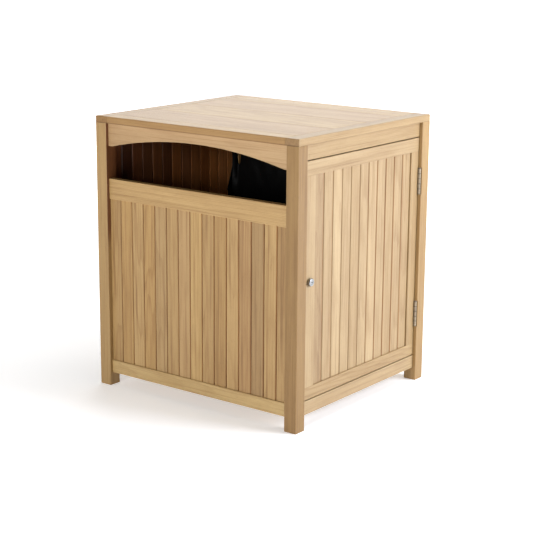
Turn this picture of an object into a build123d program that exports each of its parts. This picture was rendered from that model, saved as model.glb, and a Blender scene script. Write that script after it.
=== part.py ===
from build123d import *
from collections import namedtuple
import os

# A teak litter bin: four posts carry a flush boarded top and tongued-and-grooved walls. The front has an
# arched mouth, the right wall is a hinged and locked door, and a steel liner with a sack stands inside.
# Millimetres. +Z is up, -Y is the front with the mouth, +X is the right side with the door.
# The origin is on the floor, under the middle of the cabinet.

# ---- overall sizes
width = 720.0
depth = 645.0
height = 800.0
post = 40.0
top_thickness = 20.0
foot_height = 38.0

# ---- rails of the frame
rail_thickness = 20.0
bottom_rail_height = 39.0
top_rail_height = 42.0
sill_height = 59.0
mouth_height = 94.0
arched_rail_height = 66.0
arch_rise = 37.0
arch_flat = 12.0
tenon_length = 14.0
tenon_thickness = 10.0
tenon_shoulder = 8.0
mortise_play = 0.5
peg_radius = 3.0
peg_margin = 5.0
peg_cover = 6.0

# ---- tongued-and-grooved slats
slat_pitch = 43.3
slat_thickness = 12.0
slat_gap = 1.6
slat_bevel = 2.0
slat_housing = 5.0
slat_side_housing = 4.75
groove_play = 0.15
tongue_thickness = 4.0
tongue_length = 5.0
tongue_play = 0.5

# ---- top boards
front_board = 50.0
rear_board = 106.0
plank_count = 3
end_board_past_post = 5.0
end_board = post + end_board_past_post
board_gap = 0.4
board_bevel = 0.8
batten_width = 30.0
batten_height = 20.0
batten_places = (-200.0, 0.0, 200.0)

# ---- eased edges of the timber
post_round = 2.0
rail_round = 1.2
top_round = 2.5
underside_chamfer = 1.0

# ---- floor of the cabinet
bearer = 20.0
floor_slat_width = 55.0
floor_slat_thickness = 12.0
floor_slat_gap = 9.5
floor_side_gap = 2.0
floor_end_gap = 1.0

# ---- door
door_side_gap = 2.0
door_top_gap = 3.0
door_bottom_gap = 3.0
door_stop_gap = 0.5
door_top_rail_height = 40.0
door_bottom_rail_height = 35.0
lock_stile_width = 50.0
hinge_stile_width = 38.0
stile_tenon_length = 20.0
stop_thickness = 12.0
stop_height = 40.0
stop_overlap = 12.0
stop_end_gap = 10.0
stop_screw_inset = 48.0

# ---- hinges
hinge_height = 75.0
hinge_inset = 90.0
hinge_proud = 4.5
leaf_width = 24.0
leaf_thickness = 2.0
leaf_gap = 1.0
knuckle_radius = 4.0
knuckle_count = 5
knuckle_end_gap = 0.4
knuckle_clearance = 0.5
pin_radius = 2.0
pin_clearance = 0.05
pin_head_height = 1.5

# ---- cam lock
lock_above_middle = 1.5
lock_head_radius = 11.0
lock_neck_radius = 9.5
lock_neck_length = 2.0
lock_head_length = 7.2
lock_head_round = 2.0
lock_end_gap = 0.4
lock_shank_radius = 9.0
plug_radius = 6.0
plug_clearance = 0.05
plug_recess = 0.4
plug_square = 7.0
keyway_width = 1.6
keyway_height = 7.0
keyway_depth = 10.0
nut_across_flats = 24.0
nut_thickness = 5.0
cam_thickness = 3.0
cam_width = 14.0
cam_overlap = 9.0
cam_clearance = 1.0
cam_screw_radius = 2.5
cam_screw_head_radius = 5.5
cam_screw_head_height = 2.5
cam_screw_length = 10.0
keep_thickness = 2.0
keep_edge_gap = 1.0
keep_height = 44.0
keep_round = 2.0

# ---- wood screws
screw_radius = 2.0
screw_tip_radius = 0.5
screw_head_radius = 4.0
screw_head_height = 2.0
screw_slot = 0.9
hinge_screw_length = 22.0
board_screw_length = 32.0
floor_screw_length = 25.0
keep_screw_length = 18.0

# ---- liner
liner_end_gap = 45.0
liner_side_gap = 42.5
liner_height = 380.0
liner_draft = 20.0
liner_wall = 1.2
liner_base_rise = 8.0
liner_lower_radius = 35.0
liner_upper_radius = 45.0
liner_float = 0.3
rim_width = 5.0
rim_height = 9.0
rim_round = 3.5

# ---- drop handles of the liner
handle_rod = 3.5
handle_half_width = 50.0
handle_drop = 34.0
handle_stub = 14.0
handle_stub_bend = 5.0
handle_grip_bend = 12.0
handle_clearance = 0.08
handle_below_rim = 90.0
lug_reach = 8.0
lug_radius = 7.0
lug_thickness = 6.0
lug_leg_gap = 2.0
lug_plate_thickness = 2.0
lug_plate_length = 24.0
lug_plate_height = 24.0
rivet_radius = 2.5
rivet_head_radius = 4.5
rivet_head_height = 2.0
rivet_spacing = 12.0

# ---- refuse sack and the hooks that hold up its back
film = 1.5
film_gap = 0.5
cuff_drop = 55.0
flap_wall_gap = 20.5
flap_rise = 38.0
flap_slope_inset = 11.0
wing_rise = 58.7
wing_reaches = (45.0, 23.0, 2.0)
flap_left_gap = 3.0
flap_right_gap = 19.5
flap_shoulder_drop = 115.0
flap_sag_drop = 135.0
loop_half_width = 14.0
loop_shoulder = 40.0
loop_band = 18.0
loop_hole_drop = 196.0
loop_hole_half_width = 10.0
loop_eye = 5.0
loop_eye_drop = 1.0
hook_drop = 90.0
hook_left_inset = 37.0
hook_right_inset = 60.0
hook_rod = 2.0
hook_bend = 4.0
hook_clearance = 5.0
hook_tip = 14.0
hook_bite = 9.0
hook_collar_radius = 5.0
hook_collar_thickness = 1.5

# ---- places that follow from the sizes above
frame_top = height - top_thickness
plank = (depth - front_board - rear_board) / plank_count
post_inner_x = width / 2 - post
post_inner_y = depth / 2 - post
inner_x = width / 2 - post / 2 - rail_thickness / 2
inner_y = depth / 2 - post / 2 - rail_thickness / 2
slat_inner_x = width / 2 - post / 2 - slat_thickness / 2
slat_inner_y = depth / 2 - post / 2 - slat_thickness / 2
bottom_rail_top = foot_height + bottom_rail_height
top_rail_low = frame_top - top_rail_height
arch_spring = frame_top - arched_rail_height
sill_top = arch_spring - mouth_height
sill_low = sill_top - sill_height
floor_top = foot_height + bearer + floor_slat_thickness

door_low = bottom_rail_top + door_bottom_gap
door_high = top_rail_low - door_top_gap
door_front = -post_inner_y + door_side_gap
door_rear = post_inner_y - door_side_gap
door_outer = inner_x + rail_thickness
door_inner = inner_x + door_stop_gap
door_slat_low = door_low + door_bottom_rail_height
door_slat_high = door_high - door_top_rail_height
door_slat_front = door_front + lock_stile_width
door_slat_rear = door_rear - hinge_stile_width
door_middle = (door_outer + door_inner) / 2

hinge_x = door_outer + hinge_proud
hinge_y = (door_rear + post_inner_y) / 2
hinge_places = {
    "upper": door_high - hinge_inset - hinge_height,
    "lower": door_low + hinge_inset,
}

lock_y = door_front + lock_stile_width / 2
lock_height = (door_low + door_high) / 2 + lock_above_middle
keep_face = post_inner_x - keep_thickness
cam_face = keep_face - cam_clearance
cam_reach = (lock_y + post_inner_y) + cam_overlap

liner_low = floor_top + liner_float
liner_high = liner_low + liner_height
liner_half_x = inner_x - liner_end_gap
liner_half_y = inner_y - liner_side_gap
handle_z = liner_high - handle_below_rim

hook_height = frame_top - hook_drop
loop_hole_low = frame_top - loop_hole_drop
flap_shoulder = frame_top - flap_shoulder_drop
flap_y = post_inner_y - flap_wall_gap
flap_left = -slat_inner_x + flap_left_gap
flap_right = door_inner - flap_right_gap
hook_places = (-slat_inner_x + hook_left_inset, door_inner - hook_right_inset)

LOW = (Align.CENTER, Align.CENTER, Align.MIN)


# ---- shapes used throughout
def block(x, y, z):
    """A box between three (low, high) pairs."""
    low = [min(pair) for pair in (x, y, z)]
    high = [max(pair) for pair in (x, y, z)]
    middle = [(a + b) / 2 for a, b in zip(low, high)]
    size = [b - a for a, b in zip(low, high)]
    return Pos(*middle) * Box(*size)


def bar(start, direction, radius, length):
    """A round bar from a point, in a direction."""
    return Plane(origin=start, z_dir=direction) * Cylinder(radius, length, align=LOW)


def wire_form(points, radii, radius):
    """A round wire bent through a list of points."""
    path = FilletPolyline(*points, radius=radii)
    start = Plane(origin=path @ 0, z_dir=path % 0)
    return sweep(start * Circle(radius), path=path)


def screw(point, direction, length, slotted=True):
    """A countersunk wood screw with its head flush at the point."""
    body = Cone(screw_head_radius, screw_radius, screw_head_height, align=LOW)
    shank = length - screw_head_height - screw_radius
    body += Pos(0, 0, screw_head_height) * Cylinder(screw_radius, shank, align=LOW)
    body += Pos(0, 0, length - screw_radius) * Cone(screw_radius, screw_tip_radius, screw_radius, align=LOW)
    if slotted:
        body -= Box(3 * screw_head_radius, screw_slot, 2 * screw_slot)
    return Plane(origin=point, z_dir=direction) * body


def group(solids):
    """Separate solids kept together as one node."""
    return Compound([shape.solid() for shape in solids])


# ---- walls: each is drawn along X with its outside towards -Y, then turned into its place
Wall = namedtuple("Wall", "turn distance run")
walls = {
    "front": Wall(0, depth / 2 - post / 2, 2 * post_inner_x),
    "right": Wall(90, width / 2 - post / 2, 2 * post_inner_y),
    "rear": Wall(180, depth / 2 - post / 2, 2 * post_inner_x),
    "left": Wall(270, width / 2 - post / 2, 2 * post_inner_y),
}


def in_wall(wall):
    """The place of a wall's own axes in the cabinet."""
    return Rot(0, 0, walls[wall].turn) * Pos(0, -walls[wall].distance, 0)


# ---- rails, with tenons for the posts and grooves for the slats
Rail = namedtuple("Rail", "wall low high groove")
rails = {
    "arched_rail": Rail("front", arch_spring, frame_top, None),
    "sill_rail": Rail("front", sill_low, sill_top, "below"),
    "bottom_rail_front": Rail("front", foot_height, bottom_rail_top, "above"),
    "bottom_rail_rear": Rail("rear", foot_height, bottom_rail_top, "above"),
    "bottom_rail_left": Rail("left", foot_height, bottom_rail_top, "above"),
    "bottom_rail_right": Rail("right", foot_height, bottom_rail_top, None),
    "top_rail_rear": Rail("rear", top_rail_low, frame_top, "below"),
    "top_rail_left": Rail("left", top_rail_low, frame_top, "below"),
    "top_rail_right": Rail("right", top_rail_low, frame_top, None),
}


def tenon(rail, end, extra=0.0):
    """A rail's tenon at one end (-1 or 1), or with an extra length the mortise for it."""
    shoulder = walls[rail.wall].run / 2
    return block(
        (end * shoulder, end * (shoulder + tenon_length + extra)),
        (-tenon_thickness / 2, tenon_thickness / 2),
        (rail.low + tenon_shoulder, rail.high - tenon_shoulder),
    )


def peg(rail, end):
    """The peg through a tenon, driven from inside; side walls peg low and end walls high, so none meet."""
    if rail.wall in ("front", "rear"):
        level = rail.high - tenon_shoulder - peg_margin
    else:
        level = rail.low + tenon_shoulder + peg_margin
    along = end * (walls[rail.wall].run / 2 + tenon_length / 2)
    return bar((along, post / 2, level), (0, -1, 0), peg_radius, post - peg_cover)


def slat_groove(length, low, high):
    """The groove that houses the edge or the ends of a slatted wall."""
    half = slat_thickness / 2 + groove_play
    return block((-length / 2, length / 2), (-half, half), (low, high))


def arch_cut():
    """The arched underside of the front rail, up to its crown."""
    half = walls["front"].run / 2 - arch_flat
    radius = (half**2 + arch_rise**2) / (2 * arch_rise)
    centre = arch_spring + arch_rise - radius
    return bar((0, rail_thickness, centre), (0, -1, 0), radius, 2 * rail_thickness)


def make_rail(rail):
    """A rail with eased edges, in the axes of its wall."""
    run = walls[rail.wall].run
    half = rail_thickness / 2
    beam = block((-run / 2, run / 2), (-half, half), (rail.low, rail.high))
    beam = fillet(beam.edges().filter_by(Axis.X), rail_round)
    for end in (-1, 1):
        beam += tenon(rail, end)
    if rail.groove == "above":
        beam -= slat_groove(run, rail.high - slat_housing, rail.high)
    if rail.groove == "below":
        beam -= slat_groove(run, rail.low, rail.low + slat_housing)
    for end in (-1, 1):
        beam -= peg(rail, end)
    return beam


# ---- slatted walls
def slat_profile(face, left, right):
    """A slat's section: bevelled edges that are plain, tongued or grooved."""
    half = slat_thickness / 2
    tongue = tongue_thickness / 2
    groove = tongue + groove_play
    groove_depth = tongue_length + tongue_play
    edges = {
        "plain": [],
        "tongue": [(0, -tongue), (tongue_length, -tongue), (tongue_length, tongue), (0, tongue)],
        "groove": [(0, -groove), (-groove_depth, -groove), (-groove_depth, groove), (0, groove)],
    }
    side = [(-slat_bevel, -half), (0, slat_bevel - half)]
    back = [(0, half - slat_bevel), (-slat_bevel, half)]
    right_edge = [(face + x, y) for x, y in side + edges[right] + back]
    left_edge = [(-x, -y) for x, y in side + edges[left] + back]
    return Polygon(*right_edge, *left_edge, align=None)


def slats(total, low, high, ends):
    """A row of slats across a width, tongue into groove, with the outer edges as given."""
    count = round(total / slat_pitch)
    pitch = total / count
    row = []
    for index in range(count):
        left = ends if index == 0 else "groove"
        right = ends if index == count - 1 else "tongue"
        section = slat_profile(pitch - slat_gap, left, right)
        place = Pos(-total / 2 + index * pitch + slat_gap / 2, 0, low)
        row.append(place * extrude(section, high - low))
    return row


slat_walls = {
    "front_slats": ("front", bottom_rail_top, sill_low),
    "rear_slats": ("rear", bottom_rail_top, top_rail_low),
    "left_slats": ("left", bottom_rail_top, top_rail_low),
}


def make_slats(wall, low, high):
    """The slats of a wall, housed in its posts and rails."""
    total = walls[wall].run + 2 * slat_side_housing
    row = slats(total, low - slat_housing, high + slat_housing, "plain")
    return [in_wall(wall) * slat for slat in row]


# ---- posts
def post_cuts():
    """Everything let into the posts by the walls: mortises, peg holes and slat grooves."""
    cuts = []
    for rail in rails.values():
        for end in (-1, 1):
            cuts.append(in_wall(rail.wall) * tenon(rail, end, mortise_play))
            cuts.append(in_wall(rail.wall) * peg(rail, end))
    for wall, low, high in slat_walls.values():
        length = walls[wall].run + 2 * slat_side_housing + mortise_play
        cuts.append(in_wall(wall) * slat_groove(length, low - slat_housing, high + slat_housing))
    return cuts


def make_post(side_x, side_y):
    """A square post with eased edges, before the hinges and the keep are let in."""
    column = block(
        (side_x * post_inner_x, side_x * width / 2),
        (side_y * post_inner_y, side_y * depth / 2),
        (0, frame_top),
    )
    column = fillet(column.edges().filter_by(Axis.Z), post_round)
    foot = column.faces().sort_by(Axis.Z)[0]
    column = chamfer(foot.edges(), underside_chamfer)
    return column - post_cuts()


# ---- top
def top_boards():
    """The top: boards from left to right between two end boards, with an eased outline."""
    slab = block((-width / 2, width / 2), (-depth / 2, depth / 2), (frame_top, height))
    slab = fillet(slab.edges().filter_by(Axis.Z), top_round)
    slab = fillet(slab.faces().sort_by(Axis.Z)[-1].edges(), top_round)
    slab = chamfer(slab.faces().sort_by(Axis.Z)[0].edges(), underside_chamfer)
    seam = board_gap / 2
    end_x = width / 2 - end_board
    boards = {
        "top_end_left": block((-width, -end_x - seam), (-depth, depth), (frame_top, height)),
        "top_end_right": block((end_x + seam, width), (-depth, depth), (frame_top, height)),
    }
    edges = [-depth, -depth / 2 + front_board]
    for _ in range(plank_count):
        edges.append(edges[-1] + plank)
    edges.append(depth)
    planks = [f"top_plank_{number + 1}" for number in range(plank_count)]
    for index, name in enumerate(["top_front_board", *planks, "top_rear_board"]):
        y = (edges[index] + seam, edges[index + 1] - seam)
        boards[name] = block((-end_x + seam, end_x - seam), y, (frame_top, height))
    made = {}
    for name, space in boards.items():
        board = slab & space
        face = board.faces().sort_by(Axis.Z)[-1]
        seams = [edge for edge in face.edges() if inside_outline(edge.center())]
        made[name] = chamfer(seams, board_bevel)
    return made


def inside_outline(point):
    """Whether a point lies on a seam between boards and not on the rim of the top."""
    margin = 2 * top_round
    return abs(point.X) < width / 2 - margin and abs(point.Y) < depth / 2 - margin


def board_rows():
    """The middle of each board that runs from left to right."""
    rows = [-depth / 2 + front_board / 2]
    for index in range(plank_count):
        rows.append(-depth / 2 + front_board + (index + 0.5) * plank)
    last = -depth / 2 + front_board + plank_count * plank
    rows.append((last + depth / 2) / 2)
    return rows


def make_battens():
    """Battens that hold the boards of the top together from below."""
    level = (frame_top - batten_height, frame_top)
    run = (-inner_y, inner_y)
    half = batten_width / 2
    battens = [block((x - half, x + half), run, level) for x in batten_places]
    return [chamfer(b.faces().sort_by(Axis.Z)[0].edges(), rail_round) for b in battens]


def top_screw_set(slotted):
    """Screws up through the battens into every board, clear of the front and rear rails."""
    rows = board_rows()
    reach = inner_y - 2 * screw_head_radius
    rows = [max(-reach, min(reach, row)) for row in rows]
    level = frame_top - batten_height
    return [
        screw((x, row, level), (0, 0, 1), board_screw_length, slotted) for x in batten_places for row in rows
    ]


# ---- floor of the cabinet
def make_bearers():
    """Three bearers on the bottom rails."""
    level = (foot_height, foot_height + bearer)
    rows = []
    for side in (-1, 1):
        rows.append(block((-post_inner_x, post_inner_x), (side * (inner_y - bearer), side * inner_y), level))
    rows.append(block((-inner_x, inner_x), (-bearer / 2, bearer / 2), level))
    return rows


def floor_columns():
    """The middle of each floor slat, and its width."""
    span = 2 * (post_inner_x - floor_side_gap)
    count = round((span + floor_slat_gap) / (floor_slat_width + floor_slat_gap))
    board = (span - (count - 1) * floor_slat_gap) / count
    step = board + floor_slat_gap
    return [-span / 2 + board / 2 + index * step for index in range(count)], board


def make_floor_slats():
    """Slats from front to back, spaced so that water drains."""
    columns, board = floor_columns()
    run = (-inner_y + floor_end_gap, inner_y - floor_end_gap)
    level = (floor_top - floor_slat_thickness, floor_top)
    boards = [block((x - board / 2, x + board / 2), run, level) for x in columns]
    return [fillet(b.edges().filter_by(Axis.Y), rail_round) for b in boards]


def floor_screw_set(slotted):
    """Screws down through each floor slat into each bearer."""
    columns = floor_columns()[0]
    rows = (-inner_y + bearer / 2, 0, inner_y - bearer / 2)
    return [
        screw((x, y, floor_top), (0, 0, -1), floor_screw_length, slotted) for x in columns for y in rows
    ]


# ---- door frame and slats, drawn in the cabinet's axes
def door_tenon(y_low, y_high, level, direction, extra=0.0):
    """A stile's tenon, up or down from a rail's edge, or its mortise with an extra depth."""
    half = tenon_thickness / 2
    return block(
        (door_middle - half, door_middle + half),
        (y_low + tenon_shoulder, y_high - tenon_shoulder),
        (level, level + direction * (stile_tenon_length + extra)),
    )


def door_joints(extra=0.0):
    """The tenons of both stiles, top and bottom."""
    joints = []
    for y_low, y_high in ((door_front, door_slat_front), (door_slat_rear, door_rear)):
        joints.append(door_tenon(y_low, y_high, door_slat_high, 1, extra))
        joints.append(door_tenon(y_low, y_high, door_slat_low, -1, extra))
    return joints


def door_peg_set():
    """A peg through each stile tenon, driven from inside."""
    pegs = []
    length = door_outer - door_inner - peg_cover
    for y_low, y_high in ((door_front, door_slat_front), (door_slat_rear, door_rear)):
        for level in (door_slat_high + stile_tenon_length / 2, door_slat_low - stile_tenon_length / 2):
            pegs.append(bar((door_inner, (y_low + y_high) / 2, level), (1, 0, 0), peg_radius, length))
    return pegs


def door_timber(y, z, axis):
    """A board of the door's frame with eased long edges."""
    board = block((door_inner, door_outer), y, z)
    return fillet(board.edges().filter_by(axis), rail_round)


def door_slat_space():
    """The space that the door's slats and their grooves take up."""
    half = slat_thickness / 2 + groove_play
    return block(
        (door_middle - half, door_middle + half),
        (door_slat_front, door_slat_rear),
        (door_slat_low - slat_housing, door_slat_high + slat_housing),
    )


def door_stile_grooves():
    """Narrow grooves in both stiles for the outer slats' tongues."""
    half = tongue_thickness / 2 + groove_play
    reach = tongue_length + tongue_play
    return block(
        (door_middle - half, door_middle + half),
        (door_slat_front - reach, door_slat_rear + reach),
        (door_slat_low, door_slat_high),
    )


def make_door_slats():
    """The door's slats, tongued into both stiles."""
    total = door_slat_rear - door_slat_front
    row = slats(total, door_slat_low - slat_housing, door_slat_high + slat_housing, "tongue")
    middle = (door_slat_rear + door_slat_front) / 2
    rail_space = door_slat_space()
    stile_space = door_stile_grooves()
    placed = [Pos(door_middle, middle, 0) * Rot(0, 0, 90) * slat for slat in row]
    return [slat & (rail_space + stile_space) for slat in placed]


def make_door():
    """Two rails across the full width, and two stiles between them."""
    pegs = door_peg_set()
    mortises = door_joints(mortise_play)
    slat_space = door_slat_space()
    grooves = door_stile_grooves()
    full = (door_front, door_rear)
    between_rails = (door_slat_low, door_slat_high)
    parts = {
        "door_top_rail": door_timber(full, (door_slat_high, door_high), Axis.Y),
        "door_bottom_rail": door_timber(full, (door_low, door_slat_low), Axis.Y),
        "door_lock_stile": door_timber((door_front, door_slat_front), between_rails, Axis.Z),
        "door_hinge_stile": door_timber((door_slat_rear, door_rear), between_rails, Axis.Z),
    }
    for name in ("door_top_rail", "door_bottom_rail"):
        parts[name] -= [slat_space, *mortises, *pegs]
    for name, joints in (("door_lock_stile", door_joints()[:2]), ("door_hinge_stile", door_joints()[2:])):
        for joint in joints:
            parts[name] += joint
        parts[name] -= [grooves, *pegs]
    parts["door_lock_stile"] -= bar((door_inner, lock_y, lock_height), (1, 0, 0), lock_shank_radius, post)
    for low in hinge_places.values():
        parts["door_hinge_stile"] -= leaf_plate("door", low)
    parts["door_hinge_stile"] -= hinge_screw_set("door", False)
    return parts


# ---- hinges
leaf_sides = {"door": -1, "post": 1}


def leaf_plate(leaf, low):
    """A leaf's flat plate, from the back of the door's thickness to just short of the barrel."""
    side = leaf_sides[leaf]
    near = hinge_y + side * leaf_gap / 2
    return block(
        (hinge_x - leaf_width, hinge_x - knuckle_radius - knuckle_clearance),
        (near, near + side * leaf_thickness),
        (low, low + hinge_height),
    )


def knuckle_spans(leaf, low):
    """The heights of a leaf's own knuckles; the post's leaf has the odd ones."""
    step = hinge_height / knuckle_count
    first = 0 if leaf == "post" else 1
    gap = knuckle_end_gap / 2
    return [(low + i * step + gap, low + (i + 1) * step - gap) for i in range(first, knuckle_count, 2)]


def hinge_screw_set(leaf, slotted):
    """Three screws through each leaf of this side, staggered across its width."""
    side = leaf_sides[leaf]
    face = hinge_y + side * leaf_gap / 2
    middle = hinge_x - (leaf_width + knuckle_radius) / 2
    screws = []
    for low in hinge_places.values():
        for index, share in enumerate((-1, 0, 1)):
            level = low + hinge_height / 2 + share * hinge_height / 3
            across = middle + (index % 2 - 0.5) * screw_head_radius
            screws.append(screw((across, face, level), (0, side, 0), hinge_screw_length, slotted))
    return screws


def make_leaf(leaf, low):
    """A hinge leaf: a plate with its knuckles rolled round the pin."""
    side = leaf_sides[leaf]
    near = hinge_y + side * leaf_gap / 2
    part = leaf_plate(leaf, low)
    for z_low, z_high in knuckle_spans(leaf, low):
        part += block(
            (hinge_x - knuckle_radius - 2 * knuckle_clearance, hinge_x),
            (near, near + side * leaf_thickness),
            (z_low, z_high),
        )
        part += bar((hinge_x, hinge_y, z_low), (0, 0, 1), knuckle_radius, z_high - z_low)
    part -= bar((hinge_x, hinge_y, low), (0, 0, 1), pin_radius + pin_clearance, hinge_height)
    return part - hinge_screw_set(leaf, False)


def make_pin(low):
    """A hinge pin with a small head over each end of the barrel."""
    part = bar((hinge_x, hinge_y, low), (0, 0, 1), pin_radius, hinge_height)
    top = Pos(hinge_x, hinge_y, low + hinge_height) * Cylinder(knuckle_radius, pin_head_height, align=LOW)
    foot = Pos(hinge_x, hinge_y, low - pin_head_height) * Cylinder(knuckle_radius, pin_head_height, align=LOW)
    top = fillet(top.faces().sort_by(Axis.Z)[-1].edges(), pin_head_height / 2)
    foot = fillet(foot.faces().sort_by(Axis.Z)[0].edges(), pin_head_height / 2)
    return part + top + foot


def hinge_recesses():
    """The post's recesses for the leaves and, open to its outer face, for the barrels."""
    recesses = []
    clear = knuckle_radius + knuckle_clearance
    head = pin_head_height + knuckle_clearance
    for low in hinge_places.values():
        recesses.append(leaf_plate("post", low))
        recesses.append(
            block(
                (hinge_x - clear, width),
                (post_inner_y - post / 2, hinge_y + clear),
                (low - head, low + hinge_height + head),
            )
        )
    return recesses


# ---- lock
def on_lock_axis(x):
    """A plane across the lock's axis, facing outwards."""
    return Plane(origin=(x, lock_y, lock_height), x_dir=(0, 1, 0), z_dir=(1, 0, 0))


def disc(x_low, x_high, radius):
    """A round stretch of the lock between two distances from the cabinet's middle."""
    return bar((x_low, lock_y, lock_height), (1, 0, 0), radius, x_high - x_low)


def make_lock_body():
    """The lock's body: a rounded head on a neck, and a shank through the stile."""
    neck_end = door_outer + lock_neck_length
    head = disc(neck_end, neck_end + lock_head_length, lock_head_radius)
    rims = head.edges().filter_by(GeomType.CIRCLE).sort_by(Axis.X)
    head = fillet(rims[-1], lock_head_round)
    body = head + disc(door_outer, neck_end, lock_neck_radius)
    body += disc(cam_face + lock_end_gap, door_outer, lock_shank_radius)
    return body - disc(0, width, plug_radius + plug_clearance)


def make_lock_nut():
    """The hexagon nut that clamps the lock to the back of the stile."""
    hexagon = RegularPolygon(nut_across_flats / 2, 6, major_radius=False)
    nut = extrude(on_lock_axis(door_inner - nut_thickness) * hexagon, nut_thickness)
    return nut - disc(0, width, lock_shank_radius)


def make_lock_plug():
    """The turning plug, with a keyway in its face and a square end for the cam."""
    face = door_outer + lock_neck_length + lock_head_length - plug_recess
    plug = disc(cam_face, face, plug_radius)
    rims = plug.edges().filter_by(GeomType.CIRCLE).sort_by(Axis.X)
    plug = fillet(rims[-1], plug_recess)
    square_end = cam_face - cam_thickness
    plug += extrude(on_lock_axis(square_end) * Rectangle(plug_square, plug_square), cam_thickness)
    keyway = on_lock_axis(face - keyway_depth) * Rectangle(keyway_height, keyway_width)
    plug -= extrude(keyway, 2 * keyway_depth)
    return plug - disc(square_end, square_end + cam_screw_length, cam_screw_radius)


def make_lock_cam():
    """The flat cam, hanging down when unlocked."""
    length = cam_reach + cam_width / 2
    outline = Rectangle(cam_width, length)
    outline = fillet(outline.vertices(), cam_width / 4)
    shape = Pos(0, cam_width / 2 - length / 2) * outline - Rectangle(plug_square, plug_square)
    return extrude(on_lock_axis(cam_face - cam_thickness) * shape, cam_thickness)


def make_cam_screw():
    """The screw that holds the cam on the plug."""
    back = cam_face - cam_thickness
    head = disc(back - cam_screw_head_height, back, cam_screw_head_radius)
    rims = head.edges().filter_by(GeomType.CIRCLE).sort_by(Axis.X)
    head = fillet(rims[0], screw_slot)
    slot = on_lock_axis(back - cam_screw_head_height) * Rectangle(3 * cam_screw_head_radius, screw_slot)
    return head + disc(back, back + cam_screw_length, cam_screw_radius) - extrude(slot, screw_slot)


def keep_screw_set(slotted):
    """Two screws that hold the keep to the post."""
    middle = -(post_inner_y + slat_inner_y) / 2
    reach = keep_height / 2 - 2 * screw_head_radius
    return [
        screw((keep_face, middle, lock_height + side * reach), (1, 0, 0), keep_screw_length, slotted)
        for side in (-1, 1)
    ]


def make_keep():
    """The steel keep beside the slats on the back of the post, which the cam turns behind."""
    y = (-slat_inner_y + keep_edge_gap, -post_inner_y - keep_edge_gap)
    z = (lock_height - keep_height / 2, lock_height + keep_height / 2)
    plate = block((keep_face, post_inner_x), y, z)
    plate = fillet(plate.edges().filter_by(Axis.X), keep_round)
    return plate - keep_screw_set(False)


# ---- door stop
def stop_screw_set(slotted):
    """Screws that hold the door stop to the rail over the door."""
    level = top_rail_low + (stop_height - stop_overlap - door_top_gap) / 2
    reach = post_inner_y - stop_end_gap - stop_screw_inset
    rows = [-reach, -reach / 3, reach / 3, reach]
    face = inner_x - stop_thickness
    return [screw((face, y, level), (1, 0, 0), floor_screw_length, slotted) for y in rows]


def make_stop():
    """The strip that the closed door's top edge comes to rest against."""
    half = post_inner_y - stop_end_gap
    low = door_high - stop_overlap
    strip = block((inner_x - stop_thickness, inner_x), (-half, half), (low, low + stop_height))
    strip = fillet(strip.edges().filter_by(Axis.Y).sort_by(Axis.X)[:2], rail_round)
    return strip - stop_screw_set(False)


# ---- liner
def liner_half(level, wall_offset):
    """The liner's half length at a height, moved in or out from its outer face."""
    share = (level - liner_low) / liner_height
    return liner_half_x - liner_draft * (1 - share) + wall_offset


def tub(offset, low, high):
    """A tapered tub with round corners that follows the liner's outer face at an offset."""
    sections = []
    for level in (low, high):
        share = (level - liner_low) / liner_height
        inset = liner_draft * (1 - share) - offset
        radius = liner_lower_radius + (liner_upper_radius - liner_lower_radius) * share + offset
        outline = RectangleRounded(2 * (liner_half_x - inset), 2 * (liner_half_y - inset), radius)
        sections.append(Pos(0, 0, level) * outline)
    return loft(sections, ruled=True)


def straight_tub(offset, low, high):
    """A straight-sided block with the outline of the liner's mouth at an offset."""
    radius = liner_upper_radius + offset
    outline = RectangleRounded(2 * (liner_half_x + offset), 2 * (liner_half_y + offset), radius)
    return Pos(0, 0, low) * extrude(outline, high - low)


def liner_cavity():
    """The space inside the liner, above its raised base."""
    return tub(-liner_wall, liner_low + liner_base_rise, liner_high)


def make_liner():
    """The sheet-steel liner, with a wired rim and a base raised off the floor slats."""
    rim = straight_tub(rim_width, liner_high - rim_height, liner_high)
    rim = fillet(rim.faces().sort_by(Axis.Z)[-1].edges(), rim_round)
    rim = fillet(rim.faces().sort_by(Axis.Z)[0].edges(), rim_round)
    shell = tub(0, liner_low, liner_high) + rim
    shell -= liner_cavity()
    shell -= tub(-liner_wall, liner_low, liner_low + liner_base_rise - liner_wall)
    return shell - rivet_set()


def lug_places():
    """Each lug's side of the liner and end of the handle."""
    return [(side, end) for side in (-1, 1) for end in (-1, 1)]


def rivet_set():
    """Two rivets through the plate of each lug."""
    rivets = []
    wall = liner_half(handle_z, 0)
    middle = handle_half_width + handle_rod + lug_leg_gap + lug_thickness + lug_plate_length / 2
    for side, end in lug_places():
        for shift in (-0.5, 0.5):
            start = (side * (wall - lug_reach), end * middle, handle_z + shift * rivet_spacing)
            shank = bar(start, (side, 0, 0), rivet_radius, lug_reach + lug_plate_thickness)
            seat = (side * (wall + lug_plate_thickness), start[1], start[2])
            head = bar(seat, (side, 0, 0), rivet_head_radius, rivet_head_height)
            rivets.append(shank + head - liner_cavity())
    return rivets


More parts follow.
